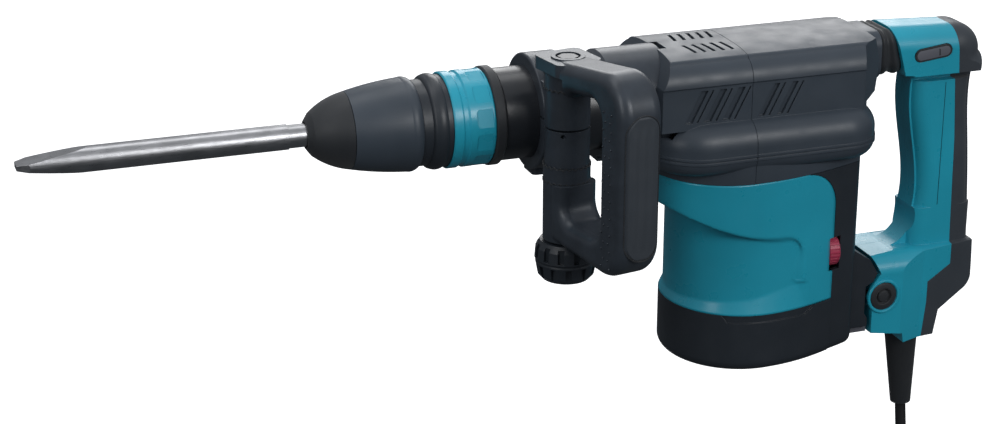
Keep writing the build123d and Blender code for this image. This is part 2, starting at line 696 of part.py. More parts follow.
def waist_side():
    """Side view of the recess round the motor housing."""
    wire = (
        Line((200, 0, -80), (284, 0, -86)) + Spline((284, 0, -86), (333, 0, -104), (378, 0, -112),
                                                    tangents=((0.93, 0, -0.37), (1, 0, 0)))
        + ThreePointArc((378, 0, -112), (390, 0, -117), (395, 0, -130)) + Line((395, 0, -130), (397, 0, -152))
        + Line((397, 0, -152), (350, 0, -162)) + Line((350, 0, -162), (200, 0, -168))
        + Line((200, 0, -168), (200, 0, -80)))
    return extrude(make_face(wire), amount=100, dir=(0, 1, 0), both=True)


def dial_window():
    """Room for the speed dial across the seam of the motor housing and the rear cover."""
    cx, cy, cz = DIAL_CENTRE
    return block(cx - 6, cx + 6, -70, cy + 15, cz - DIAL_R - 1, cz + DIAL_R + 1)


def motor_housing():
    """Shell round the motor, with a recessed waist that wraps its front."""
    outer = lower_block(MOTOR_FRONT_X, LOWER_HALF_WIDTH, BASE_SEAM_Z, MOTOR_TOP_Z)
    waist = lower_block(WAIST_FRONT_X, LOWER_HALF_WIDTH - WAIST_DEPTH, BASE_SEAM_Z, MOTOR_TOP_Z)
    body = outer - ((outer - waist) & waist_side())
    lower_front = lower_block(BASE_FRONT_X, LOWER_HALF_WIDTH, BASE_SEAM_Z, -150)
    body = body - (lower_block(200, LOWER_HALF_WIDTH + 40, BASE_SEAM_Z, -150) - lower_front)
    body = body & teal_side()
    body -= lower_block(WAIST_FRONT_X, LOWER_HALF_WIDTH - WAIST_DEPTH, -180, -50, WALL)
    return body - dial_window()


def base_cap():
    """Cap under the motor, with the seat of the lower bearing."""
    outer = lower_block(BASE_FRONT_X, LOWER_HALF_WIDTH + 0.4, BASE_Z, BASE_SEAM_Z - 0.3)
    outer = fillet(outer.edges().group_by(Axis.Z)[0], 9)
    inner = lower_block(BASE_FRONT_X, LOWER_HALF_WIDTH + 0.4, BASE_Z + 4, BASE_SEAM_Z + 5, WALL)
    body = outer - inner
    body += tube_z(BASE_Z + 1, -193.5, 17, 13, MOTOR_X) + bar_z(BASE_Z + 1, -206.4, 14, MOTOR_X)
    body = body & block(200, REAR_SEAM_X, -100, 100, -300, 0)
    lip = prism_y([(328, BASE_SEAM_Z + 1), (333, -181), (400, -181), (414, BASE_SEAM_Z + 1)], 100)
    lip -= lower_block(BASE_FRONT_X, LOWER_HALF_WIDTH + 0.4, -200, -100, 1.6)
    for x, y in BASE_SCREWS:
        body -= bar_z(BASE_Z - 5, BASE_Z + 2.0, 3.8, x, y)
    return body - lip


def rear_cover():
    """Cover behind the motor, with the opening for the speed dial and the pivot lug."""
    x, z = PIVOT
    outer = lower_block(MOTOR_FRONT_X, LOWER_HALF_WIDTH, BASE_Z, MOTOR_TOP_Z - 0.2)
    outer = fillet(outer.edges().group_by(Axis.Z)[0], 9)
    inner = lower_block(MOTOR_FRONT_X, LOWER_HALF_WIDTH, BASE_Z + 4, MOTOR_TOP_Z + 5, WALL)
    body = outer - inner
    body -= Pos(0.3, 0, 0) * teal_side()
    body -= block(200, REAR_SEAM_X + 0.3, -100, 100, -300, BASE_SEAM_Z + 0.1)
    body -= block(200, 395, -100, 100, -300, 0)
    shoulder = prism_y([(450, -140), (456, -141), (473, -152), (480.5, -165), (477, -172), (470, -176),
                        (470, -200), (473, -205), (473, -212), (456, -212), (450, -212)], 34.5)
    shoulder = shoulder - bar_y(-50, 50, PIVOT_BOSS_R + BODY_GAP + 0.6, x, z)
    body += shoulder & block(453, 500, -40, 40, -230, -100)
    lug = prism_y([(455, -168), (x, z + 13), (x, z - 13), (455, -206)], LUG_HALF_WIDTH)
    lug += bar_y(-LUG_HALF_WIDTH, LUG_HALF_WIDTH, 13, x, z)
    body += lug
    body -= bar_y(-60, 60, 6 + RUNNING_FIT, x, z)
    return body - dial_window()


def speed_dial():
    """Thumb wheel that sets the blow rate."""
    cx, cy, cz = DIAL_CENTRE
    body = bar_x(cx - 5, cx + 5, DIAL_R, cy, cz)
    body = chamfer(body.edges().filter_by(GeomType.CIRCLE), 0.8)
    groove = Pos(cx, cy, cz) * block(-4, 4, -0.6, 0.6, DIAL_R - 0.7, DIAL_R + 1)
    for copy in ring_of(groove, 24, axis_point=(cx, cy, cz)):
        body -= copy
    body -= bar_x(cx - 6, cx + 6, 2.5, cy, cz)
    return body


def dial_shaft():
    """Short shaft of the speed regulator behind the dial."""
    cx, cy, cz = DIAL_CENTRE
    return bar_x(cx - 5.5, cx + 8.6, 2.5 - RUNNING_FIT, cy, cz)


def control_board():
    """Speed regulator with its circuit board."""
    cx = DIAL_CENTRE[0]
    body = block(cx + 8.5, cx + 11, -34, 20, -160, -118)
    body += block(cx + 10.9, cx + 18, -20, 10, -150, -126)
    return body


def under_plate():
    """Pale plate under the pivot lug."""
    return block(458.2, 474.5, -30, 30, -218.5, -212.4)


def socket_screw(head_r, height):
    """Head of a socket screw, standing on the XY plane."""
    return bar_z(0, height, head_r) - bar_z(height - 1.6, height + 1, head_r * 0.5)


def housing_screws():
    """Screws of the crank cover and the base cap."""
    screws = []
    for x in (338, 388, 438):
        for y in (-35, 35):
            screws.append(Pos(x, y, 29.5) * socket_screw(3.6, 3.0))
    for x, y in BASE_SCREWS:
        screws.append(Pos(x, y, BASE_Z + 2.0) * Rot(180, 0, 0) * socket_screw(3.6, 1.8))
    return screws


# --- rear handle ---

def handle_side():
    """Side view of the rear handle, without its finger gap."""
    x, z = PIVOT
    wire = (
        Line((488.5, 0, 42.5), (548, 0, 39.5))
        + ThreePointArc((548, 0, 39.5), (568, 0, 32), (573.5, 0, 16))
        + Spline((573.5, 0, 16), (569, 0, -6), (571, 0, -60), (577, 0, -150), (578, 0, -184))
        + ThreePointArc((578, 0, -184), (575.5, 0, -191), (570, 0, -196))
        + Line((570, 0, -196), (547, 0, -211))
        + Line((547, 0, -211), (543, 0, -233)) + Line((543, 0, -233), (510, 0, -233))
        + Line((510, 0, -233), (508, 0, -224)) + Line((508, 0, -224), (477, 0, -219))
        + Line((477, 0, -219), (477, 0, -197.5)) + Line((477, 0, -197.5), (x - 15, 0, z))
        + Line((x - 15, 0, z), (477, 0, -175)) + Line((477, 0, -175), (484, 0, -166))
        + Line((484, 0, -166), (478, 0, ARM_TOP_Z - 1)) + Line((478, 0, ARM_TOP_Z - 1), (500, 0, ARM_TOP_Z))
        + ThreePointArc((500, 0, ARM_TOP_Z), (516, 0, -143), (521.5, 0, -118))
        + Spline((521.5, 0, -118), (521, 0, -78), (513.5, 0, -34), (513, 0, -6))
        + ThreePointArc((513, 0, -6), (510.5, 0, 0), (505, 0, 2.6)) + Line((505, 0, 2.6), (499.5, 0, 3))
        + Line((499.5, 0, 3), (488.5, 0, 42.5)))
    return make_face(wire)


def handle_block():
    """Rear handle as one solid: wide pivot arms, a rounded grip and a wide top arm."""
    thick = extrude(handle_side(), amount=ARM_HALF_WIDTH, dir=(0, 1, 0), both=True)
    grip = thick & block(440, 600, -GRIP_HALF_WIDTH, GRIP_HALF_WIDTH, -118, -6)
    long_edges = grip.edges().filter_by(
        lambda edge: abs(edge.center().Y) > GRIP_HALF_WIDTH - 0.1 and edge.length > 100)
    grip = fillet(long_edges, 15)
    web = thick & block(440, 600, -12, 12, -165, 6)
    heel_plan = fillet(Rectangle(61, 2 * GRIP_HALF_WIDTH).vertices(), 14)
    heel = thick & (Pos(547.5, 0, -165) * extrude(heel_plan, amount=47.1))
    top = thick & block(480, 600, -TOP_ARM_HALF_WIDTH, TOP_ARM_HALF_WIDTH, 1, 80)
    top_edges = top.edges().filter_by(
        lambda edge: abs(edge.center().Y) > TOP_ARM_HALF_WIDTH - 0.1
        and edge.center().Z > 30 and edge.length > 8)
    top = fillet(top_edges, 18)
    return grip + web + heel + top + pivot_arms(thick)


def pivot_arms(thick):
    """Wide lower end of the rear handle, rounded along its top."""
    plan = make_face(Polyline(
        (440, -ARM_HALF_WIDTH), (505, -ARM_HALF_WIDTH), (528, -27), (590, -21), (590, 21), (528, 27),
        (505, ARM_HALF_WIDTH), (440, ARM_HALF_WIDTH), close=True))
    section = Rectangle(2 * ARM_HALF_WIDTH, 100)
    section = fillet(section.vertices().group_by(Axis.Y)[-1], 17)
    bar = Pos(440, 0, ARM_TOP_Z + 0.5 - 50) * Rot(0, 0, 90) * Rot(90, 0, 0) * extrude(section, amount=150)
    return thick & (Pos(0, 0, -240) * extrude(plan, amount=110)) & bar


def handle_cavity():
    """Hollow of the rear handle and the room for the machine's pivot lug."""
    grip = prism_y([(527, -130), (519.5, -30), (519.5, 6), (497, 7), (494, 35), (545, 33), (564, 18),
                    (565, -60), (571, -150), (571, -180), (546, -203), (540, -222), (520, -222),
                    (520, -165)], 11)
    lug_room = prism_y([(440, -158), (478, -160), (503, -168), (503, -207), (478, -212), (440, -212)],
                       LUG_HALF_WIDTH + BODY_GAP)
    sides = block(440, 476, -31, 31, -212, -163)
    return grip + lug_room + sides


def rubber_side():
    """Region behind the line where the rubber back begins."""
    wire = (
        Line((542, 0, 80), (548, 0, 22)) + Line((548, 0, 22), (553.5, 0, -58))
        + Line((553.5, 0, -58), (556, 0, -150))
        + Line((556, 0, -150), (556, 0, -170)) + Line((556, 0, -170), (534, 0, -183))
        + Line((534, 0, -183), (534, 0, -202))
        + Line((534, 0, -202), (528, 0, -260)) + Line((528, 0, -260), (620, 0, -260))
        + Line((620, 0, -260), (620, 0, 80))
        + Line((620, 0, 80), (542, 0, 80)))
    return extrude(make_face(wire), amount=60, dir=(0, 1, 0), both=True)


def switch_window(half_width):
    """Oval passage for the switch slider across the top arm."""
    x, z = SWITCH_CENTRE
    oval = extrude(SlotOverall(35, 11.6), half_width, both=True)
    return Pos(x, 0, z) * Rot(0, -6, 0) * Rot(90, 0, 0) * oval


def handle_solid():
    """Hollow rear handle, rounded, before it is parted into its pieces."""
    body = handle_block() - handle_cavity()
    x, z = PIVOT
    body -= bar_y(-60, 60, 11.6, x, z) - bar_y(-24, 24, 13, x, z)
    body -= bar_y(-60, 60, 6, x, z)
    gx, gz = GUARD_TOP
    body -= bar_z(gz - 8, gz + 12, 12.6, gx, 0)
    body -= switch_window(60)
    return body


def handle_half(solid, side):
    """One moulded half of the rear handle."""
    half = solid - rubber_side()
    return half & block(400, 700, min(0, side * 80), max(0, side * 80), -300, 100)


def handle_rubber(solid):
    """Rubber back over both halves."""
    return solid & rubber_side()


def pivot_pin():
    """Steel pin of the rear handle."""
    x, z = PIVOT
    return bar_y(-33, 33, 6, x, z)


def pivot_bushes():
    """Two rubber bushes round the ends of the pin."""
    x, z = PIVOT
    bushes = []
    for side in (1, -1):
        y0, y1 = sorted((side * 24.2, side * 34.5))
        bush = bar_y(y0, y1, 11.5, x, z) - bar_y(-60, 60, 6, x, z)
        bushes.append(bush)
    return bushes


def bellows():
    """Soft bellows between the housing and the rear handle."""
    def ring(x0, x1, grow):
        piece = block(x0, x1, -23 - grow, 23 + grow, 4 - grow, 40.5 + grow)
        return fillet(piece.edges().filter_by(Axis.X), 11)
    body = ring(476.2, 478.5, 2.5) + ring(478.4, 481, 0.5) + ring(480.9, 483.5, 2.5) + ring(483.4, 486, 0.5)
    return body - block(470, 500, -18, 18, 9, 36)


def vibration_spring():
    """Spring that keeps the handle and the machine apart at the top."""
    path = Helix(5.0, 28, 6.5, center=(0, 0, 0), direction=(1, 0, 0))
    path = Pos(460, 0, 22) * path
    section = Plane(path @ 0, z_dir=path % 0) * Circle(1.1)
    return sweep(section, path)


def switch_body():
    """Mains switch inside the top arm."""
    return block(524, 546, -10.5, 10.5, -30, 11)


def switch_slider():
    """Slider across the top arm, pushed from either side."""
    x, z = SWITCH_CENTRE
    half = TOP_ARM_HALF_WIDTH - SWITCH_TRAVEL / 2
    face = Pos(x, 0, z) * Rot(0, -6, 0) * Rot(90, 0, 0) * extrude(SlotOverall(34, 10.6), half, both=True)
    return Pos(0, -SWITCH_TRAVEL / 2 - 0.7, 0) * face


# --- cord ---

def cord_guard():
    """Long tapered guard that leads the cord out of the handle."""
    x0, z0 = GUARD_TOP
    x1, z1 = GUARD_END
    lean = math.degrees(math.atan2(x1 - x0, z0 - z1))
    length = math.hypot(x1 - x0, z1 - z0)
    body = turned((9, 0), (9, 11.8), (0, 11.8), (0, 14.4), (-length, 8.9), (-length, 0))
    body -= bar_x(-length - 1, 10, CORD_D / 2)
    return Pos(x0, 0, z0) * Rot(0, -90 - lean, 0) * body


def cord_route():
    """Corners of the cord's uncoiled stretch, from the end of the guard to the coil."""
    lie = FLOOR_Z + CORD_D / 2
    return [
        (531.0, 0.0, -305.0), (532.6, -1.0, -330.0), (530.0, -12.0, -359.0), (526.0, -38.0, -377.0),
        (520.0, -72.0, lie), (510.0, -112.0, lie)]


def cord():
    """Uncoiled stretch of the mains cord, as straight runs joined by arcs."""
    points = [Vector(*point) for point in cord_route()]
    radii = []
    for before, here, after in zip(points, points[1:], points[2:]):
        turn = math.radians((here - before).get_angle(after - here))
        shorter = min((here - before).length, (after - here).length)
        radii.append(0.45 * shorter / math.tan(turn / 2))
    print("cord radii:", [round(radius, 1) for radius in radii])
    path = FilletPolyline(*points, radius=radii)
    section = Plane(points[0], z_dir=points[1] - points[0]) * Circle(CORD_D / 2)
    tube = sweep(section, path)
    print("cord length:", round(path.length, 1), "volume error:",
          round(tube.volume / (math.pi * CORD_D ** 2 / 4 * path.length) - 1, 4))
    return tube


def cord_coil():
    """Outer shape of the coiled rest of the cord, lying below the handle."""
    x, y = COIL_CENTRE
    half = COIL_ROWS * CORD_D / 2
    ring = tube_z(FLOOR_Z, FLOOR_Z + 2 * half, COIL_MIDDLE_R + half, COIL_MIDDLE_R - half)
    ring = fillet(ring.edges().filter_by(GeomType.CIRCLE), 4)
    return Pos(x, y, 0) * ring


def plug():
    """Two-pin plug with its tapered collar, lying beside the coil."""
    lie = FLOOR_Z + 12.5
    body = Pos(0, 0, lie) * Box(34, 40, 24)
    body = fillet(body.edges().filter_by(Axis.X), 9)
    body += Pos(-34, 0, lie) * Rot(0, 90, 0) * Cone(6.2, 9.5, 36)
    for side in (1, -1):
        body += bar_x(16.9, 36, 2.4, side * 9.5, lie)
    x, y = COIL_CENTRE
    outer_turn = COIL_MIDDLE_R + (COIL_ROWS - 1) * CORD_D / 2
    return Pos(x + 92, y - outer_turn, 0) * body


def save(name, shape):
    """Moves a piece into the finished frame and writes it."""
    solids = shape if isinstance(shape, (list, ShapeList)) else [shape]
    shift = Pos(*[-value for value in GRIP_CENTRE])
    moved = [shift * solid for solid in solids]
    export_step(moved[0] if len(moved) == 1 else Compound(moved), f"parts/{name}.step")


def main():
    os.makedirs("parts", exist_ok=True)
    shell = upper_shell()
    handle = handle_solid()
    pieces = {
        "chisel_bit": chisel_bit(),
        "tool_holder": tool_holder(),
        "lock_rollers": lock_rollers(),
        "nose_cap": nose_cap(),
        "release_sleeve": release_sleeve(),
        "sleeve_spring": sleeve_spring(),
        "sleeve_collar": sleeve_collar(),
        "change_ring": change_ring(),
        "flange_ring": flange_ring(),
        "barrel": barrel(),
        "gear_case": gear_case(),
        "clamp_band": clamp_band(),
        "column_collars": column_collars(),
        "side_handle": side_handle(),
        "side_grip_pad": side_grip_pad(),
        "handle_bolt": handle_bolt(),
        "clamp_knob": clamp_knob(),
        "impact_bolt": impact_bolt(),
        "cylinder": cylinder(),
        "cylinder_rings": cylinder_rings(),
        "striker": striker(),
        "piston": piston(),
        "wrist_pin": wrist_pin(),
        "connecting_rod": connecting_rod(),
        "crankshaft": crankshaft(),
        "crank_gear": crank_gear(),
        "crank_housing": crank_housing(),
        "crank_cover": crank_cover(),
        "armature_shaft": armature_shaft(),
        "armature_core": armature_core(),
        "armature_windings": armature_windings(),
        "commutator": commutator(),
        "cooling_fan": cooling_fan(),
        "ball_bearings": ball_bearings(),
        "stator_core": stator_core(),
        "field_coils": field_coils(),
        "brush_holders": brush_holders(),
        "carbon_brushes": carbon_brushes(),
        "front_cover": front_cover(shell),
        "rear_top_cover": rear_top_cover(shell),
        "motor_housing": motor_housing(),
        "base_cap": base_cap(),
        "rear_cover": rear_cover(),
        "speed_dial": speed_dial(),
        "control_board": control_board() + dial_shaft(),
        "under_plate": under_plate(),
        "housing_screws": housing_screws(),
        "handle_left": handle_half(handle, -1),
        "handle_right": handle_half(handle, 1),
        "handle_rubber": handle_rubber(handle),
        "bellows": bellows(),
        "vibration_spring": vibration_spring(),
        "pivot_pin": pivot_pin(),
        "pivot_bushes": pivot_bushes(),
        "switch_body": switch_body(),
        "switch_slider": switch_slider(),
        "cord_guard": cord_guard(),
        "cord": cord(),
        "cord_coil": cord_coil(),
        "plug": plug(),
    }
    for name, shape in pieces.items():
        save(name, shape)
    print(len(pieces), "nodes")


main()
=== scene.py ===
"""Looks of the electric demolition hammer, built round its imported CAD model."""
import json
import math

import bmesh
import bpy
from mathutils import Matrix, Vector

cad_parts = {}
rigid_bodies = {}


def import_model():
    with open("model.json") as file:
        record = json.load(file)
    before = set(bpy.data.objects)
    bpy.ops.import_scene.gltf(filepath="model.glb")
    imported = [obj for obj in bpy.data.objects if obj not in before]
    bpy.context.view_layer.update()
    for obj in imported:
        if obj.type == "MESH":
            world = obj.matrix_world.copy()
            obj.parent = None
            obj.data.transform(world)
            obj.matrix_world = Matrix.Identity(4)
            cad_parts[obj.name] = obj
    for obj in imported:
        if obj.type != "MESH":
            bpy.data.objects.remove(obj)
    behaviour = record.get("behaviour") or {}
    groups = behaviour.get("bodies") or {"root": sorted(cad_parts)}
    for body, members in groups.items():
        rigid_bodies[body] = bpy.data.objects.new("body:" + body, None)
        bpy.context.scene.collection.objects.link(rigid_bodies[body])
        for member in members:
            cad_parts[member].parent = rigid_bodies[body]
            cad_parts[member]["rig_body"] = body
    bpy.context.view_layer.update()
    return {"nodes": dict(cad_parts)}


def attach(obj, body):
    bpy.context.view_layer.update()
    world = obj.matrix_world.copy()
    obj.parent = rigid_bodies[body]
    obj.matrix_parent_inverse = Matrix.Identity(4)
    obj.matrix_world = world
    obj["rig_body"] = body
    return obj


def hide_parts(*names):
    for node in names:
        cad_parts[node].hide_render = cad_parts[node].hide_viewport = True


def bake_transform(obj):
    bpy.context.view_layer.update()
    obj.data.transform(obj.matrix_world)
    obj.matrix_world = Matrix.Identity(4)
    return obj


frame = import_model()

# The hammer axis runs along X through this point of the row frame.
# Points below are given from it in millimetres.
AXIS_ORIGIN = Vector((-0.545, 0.0, 0.070))
FLOOR_Z = -385.0
CORD_D = 9.5


def at(x, y, z):
    """A point given from the hammer axis in millimetres, in the row frame in metres."""
    return AXIS_ORIGIN + Vector((x, y, z)) * 0.001


# --- camera ---

def add_camera():
    """Camera at the viewpoint of the picture: a long lens, a little above and in front."""
    turn, lift = math.radians(19.5), math.radians(20.5)
    right = Vector((math.cos(turn), -math.sin(turn), 0))
    up = Vector((math.sin(turn) * math.sin(lift), math.cos(turn) * math.sin(lift), math.cos(lift)))
    back = right.cross(up)
    data = bpy.data.cameras.new("camera")
    data.sensor_width = 36
    data.lens = 79.2
    camera = bpy.data.objects.new("camera", data)
    camera.matrix_world = Matrix.Translation(Vector((-0.9337, -1.5405, 0.5991))) @ Matrix(
        (right, up, back)).transposed().to_4x4()
    bpy.context.scene.collection.objects.link(camera)
    bpy.context.scene.camera = camera


# --- meshes ---

def link(name, data, body):
    """Puts a mesh or curve in the scene and lets it ride on a body."""
    piece = bpy.data.objects.new(name, data)
    bpy.context.scene.collection.objects.link(piece)
    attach(piece, body)
    return piece


def smooth(mesh, angle=35):
    """Smooth shading with edges kept sharp above an angle."""
    for polygon in mesh.polygons:
        polygon.use_smooth = True
    mesh.set_sharp_from_angle(angle=math.radians(angle))


def grid_piece(name, rows, body, material, closed=False, thickness=0.0, angle=35, transform=None):
    """Surface through rows of points; closed joins the two ends of each row."""
    shape = bmesh.new()
    place = transform or at
    lines = [[shape.verts.new(place(*point)) for point in row] for row in rows]
    for line, following in zip(lines, lines[1:]):
        count = len(line)
        for index in range(count if closed else count - 1):
            after = (index + 1) % count
            shape.faces.new((line[index], line[after], following[after], following[index]))
    bmesh.ops.recalc_face_normals(shape, faces=shape.faces)
    mesh = bpy.data.meshes.new(name)
    shape.to_mesh(mesh)
    shape.free()
    smooth(mesh, angle)
    mesh.materials.append(material)
    piece = link(name, mesh, body)
    if thickness:
        shell = piece.modifiers.new("wall", "SOLIDIFY")
        shell.thickness = thickness
        shell.offset = -1
    return piece


def line_piece(name, paths, radius, body, material, closed=False):
    """Thin round beads along several lines of points."""
    curve = bpy.data.curves.new(name, "CURVE")
    curve.dimensions = "3D"
    curve.bevel_depth = radius / 1000
    curve.bevel_resolution = 2
    curve.use_fill_caps = True
    for path in paths:
        spline = curve.splines.new("POLY")
        spline.points.add(len(path) - 1)
        for point, place in zip(spline.points, path):
            point.co = (*place, 1)
        spline.use_cyclic_u = closed
    curve.materials.append(material)
    return link(name, curve, body)


TURNED_STEPS = 48


def turned_y(name, place, outline, body, material):
    """Round piece on an axis along Y: the outline is (distance towards the side, radius) corners."""
    x, y, z = place
    side = 1 if y > 0 else -1
    rows = []
    for reach, radius in outline:
        rows.append([(x + radius * math.cos(2 * math.pi * k / TURNED_STEPS), y + side * reach,
                      z + radius * math.sin(2 * math.pi * k / TURNED_STEPS)) for k in range(TURNED_STEPS)])
    return grid_piece(name, rows, body, material, closed=True, angle=30)


def smoothstep(value):
    """0 below 0, 1 above 1, and an even S between."""
    value = min(1.0, max(0.0, value))
    return value * value * (3 - 2 * value)


# --- motor housing ---

SEAM_Z = -174.5
HOUSING_TOP = -60.4
HALF_WIDTH = 63.5
WAIST_HALF_WIDTH = 59.0
TOP_FRONT_X = 284.5
FLARE_FRONT_X = 301.0
WAIST_FRONT_X = 304.5
REAR_X = 429.5
BACK_X = 458.0
BACK_HALF_WIDTH = 38.0
WAIST_REAR_X = 395.0
WAIST_CORNER = 18.0
FRONT_PART = 0.6
DIAL_TOP_Z = -121.0
DIAL_BOTTOM_Z = -150.2
DIAL_ROOM = 4.2
TOP_TURN_Z = -94.0
TOP_TURN_RADIUS = 33.6


def lower_plan(front, half, share):
    """Point of the lower housing's plan; share runs from 0 at the rear left, round the front, to 1."""
    side = -1 if share < 0.5 else 1
    along = abs(share - 0.5) * 2
    widest = front + half
    if along < FRONT_PART:
        angle = along / FRONT_PART * math.pi / 2
        return widest - half * math.cos(angle), side * half * math.sin(angle)
    t = (along - FRONT_PART) / (1 - FRONT_PART)
    chord = math.hypot(BACK_X - widest, half - BACK_HALF_WIDTH)
    at_start, leaving = 2 * t**3 - 3 * t**2 + 1, t**3 - 2 * t**2 + t
    at_end, arriving = 3 * t**2 - 2 * t**3, t**3 - t**2
    x = at_start * widest + leaving * chord + at_end * BACK_X + arriving * 0.93 * chord
    y = at_start * half + at_end * BACK_HALF_WIDTH - arriving * 0.37 * chord
    return x, side * y


def waist_share(x, z):
    """How far the surface is drawn in at a place of the side view: 1 inside the waist, 0 outside."""
    top = -86 - 26 * math.sin(min(1.0, max(0.0, (x - 284) / 96)) * math.pi / 2)
    flare = -152 - 10 * min(1.0, max(0.0, (397 - x) / 47)) - 6 * min(1.0, max(0.0, (350 - x) / 60))
    if z < flare:
        below = (z - SEAM_Z) / (flare - SEAM_Z)
        return min(max(0.0, below), smoothstep((WAIST_REAR_X - x + 8) / 9))
    down, ahead = top - z, WAIST_REAR_X - x
    inside = min(down, ahead)
    if down < WAIST_CORNER and ahead < WAIST_CORNER:
        inside = WAIST_CORNER - math.hypot(WAIST_CORNER - down, WAIST_CORNER - ahead)
    return smoothstep((inside + 3.5) / 7.5)


def rear_edge(z, left):
    """Rear edge of the teal housing: it turns forward at its top and makes room for the dial on the left."""
    if left and DIAL_BOTTOM_Z < z < DIAL_TOP_Z:
        return REAR_X - DIAL_ROOM
    if z > TOP_TURN_Z:
        return 398 + 31.5 * math.sqrt(max(0.0, 1 - ((z - TOP_TURN_Z) / TOP_TURN_RADIUS) ** 2))
    return REAR_X


def share_at(front, half, x_end, side):
    """Share of the plan at which its side reaches x_end."""
    low, high = 0.0, 1.0
    for _ in range(30):
        middle = (low + high) / 2
        if lower_plan(front, half, 0.5 + side * middle / 2)[0] < x_end:
            low = middle
        else:
            high = middle
    return 0.5 + side * low / 2


def add_motor_housing(material):
    """Shell of the motor with its drawn-in waist and the flare above the base."""
    heights = [SEAM_Z + (HOUSING_TOP - SEAM_Z) * k / 76 for k in range(77)]
    heights = sorted(heights + [DIAL_BOTTOM_Z - 0.1, DIAL_BOTTOM_Z + 0.1, DIAL_TOP_Z - 0.1, DIAL_TOP_Z + 0.1])
    rows = []
    for z in heights:
        front = TOP_FRONT_X + (FLARE_FRONT_X - TOP_FRONT_X) * smoothstep((-96 - z) / 50)
        start = share_at(front, HALF_WIDTH, rear_edge(z, True), -1)
        end = share_at(front, HALF_WIDTH, rear_edge(z, False), 1)
        row = []
        for k in range(141):
            share = start + (end - start) * k / 140
            x, y = lower_plan(front, HALF_WIDTH, share)
            inner = lower_plan(WAIST_FRONT_X, WAIST_HALF_WIDTH, share)
            drawn = waist_share(x, z)
            row.append((x + (inner[0] - x) * drawn, y + (inner[1] - y) * drawn, z))
        rows.append(row)
    shell = grid_piece("motor_shell", rows, "machine", material, thickness=0.003, angle=50)
    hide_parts("motor_housing")


# --- bellows ---

BELLOWS_FRONT_X = 475.8
BELLOWS_CORNER = 11.0


def add_bellows(material):
    """Ribbed rubber between the housing and the rear handle; its rear end leans with the handle."""
    rows = []
    steps = 26
    for k in range(steps + 1):
        share = k / steps
        swell = 1.6 * (0.5 - 0.5 * math.cos(2 * math.pi * 2 * share)) - 0.6
        half, top, bottom = 23.2 + swell, 40.6 + swell, 4.0 - swell
        row = []
        for corner in range(4):
            cy = (half - BELLOWS_CORNER) * (1 if corner in (0, 3) else -1)
            cz = (top - BELLOWS_CORNER) if corner in (0, 1) else (bottom + BELLOWS_CORNER)
            for step in range(9):
                angle = math.pi / 2 * (corner + step / 8)
                z = cz + BELLOWS_CORNER * math.sin(angle)
                y = cy + BELLOWS_CORNER * math.cos(angle)
                rear = 488.2 + 11 * (42.5 - z) / 39.5
                row.append((BELLOWS_FRONT_X + (rear - BELLOWS_FRONT_X) * share, y, z))
        rows.append(row)
    piece = grid_piece("bellows_ribs", rows, "machine", material, closed=True,
                       thickness=0.0015)
    piece.parent = None
    del piece["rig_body"]
    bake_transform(piece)
    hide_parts("bellows")


# --- side handle ---

COLUMN = (189.0, -62.0)
RING_R = 18.35
PAD_REACH = 106.0
PAD_FLAT = 9.0


def side(reach, across, z):
    """A point given from the side handle's column, in the row frame."""
    turn = math.radians(-80)
    x = COLUMN[0] + reach * math.cos(turn) - across * math.sin(turn)
    y = COLUMN[1] + reach * math.sin(turn) + across * math.cos(turn)
    return at(x, y, z)


def pad_back(across):
    """How far the pad's face falls back towards its rounded sides."""
    return PAD_FLAT - math.sqrt(max(0.0, PAD_FLAT**2 - max(0.0, abs(across) - PAD_FLAT) ** 2))


def add_grip_pad(material, dark):
    """Soft fluted pad on the outer side of the side grip, with its parting line."""
    top, bottom, half = 43.0, -68.0, 14.0
    middle, long_half = (top + bottom) / 2, (top - bottom) / 2
    rows, rim = [], []
    for k in range(61):
        z = middle - long_half * math.cos(math.pi * k / 60)
        from_end = min(z - bottom, top - z)
        width = half
        if from_end < half:
            width = math.sqrt(max(0.0, half**2 - (half - from_end) ** 2))
        row = []
        for n in range(41):
            across = width * math.sin(math.pi * (n / 40 - 0.5))
            edge = min(width - abs(across), from_end)
            flute = 0.55 * (0.5 + 0.5 * math.cos(2 * math.pi * across / 7.5))
            flute *= smoothstep((from_end - 6) / 12)
            lift = -0.6 + 1.3 * smoothstep(edge / 1.6) + flute * smoothstep(edge / 4)
            row.append((PAD_REACH - pad_back(across) + lift, across, z))
        rows.append(row)
    for k in range(90):
        angle = 2 * math.pi * k / 90
        across = (half + 0.4) * math.cos(angle)
        straight = long_half - half
        z = middle + (half + 0.4) * math.sin(angle) + (straight if math.sin(angle) > 0 else -straight)
        rim.append(side(PAD_REACH - pad_back(across) + 0.05, across, z))
    pad = grid_piece("grip_pad", rows, "side_handle", material, angle=60, transform=side)
    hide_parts("side_grip_pad")
    line_piece("grip_pad_line", [rim], 0.45, "side_handle", dark, closed=True)


def add_grip_dots(material):
    """Small raised dots along the near edge of the side grip."""
    shape = bmesh.new()
    for number in range(19):
        z = 42 - 6.6 * number
        for reach in (79.5 + 3 * (number % 2), 90.5 - 2 * (number % 2)):
            place = Matrix.Translation(side(reach, -18.0, z)) @ Matrix.Diagonal((0.9, 0.5, 0.9, 1.0))
            bmesh.ops.create_uvsphere(shape, u_segments=12, v_segments=8, radius=0.0010, matrix=place)
    mesh = bpy.data.meshes.new("grip_dots")
    shape.to_mesh(mesh)
    shape.free()
    smooth(mesh, 180)
    mesh.materials.append(material)
    link("grip_dots", mesh, "side_handle")


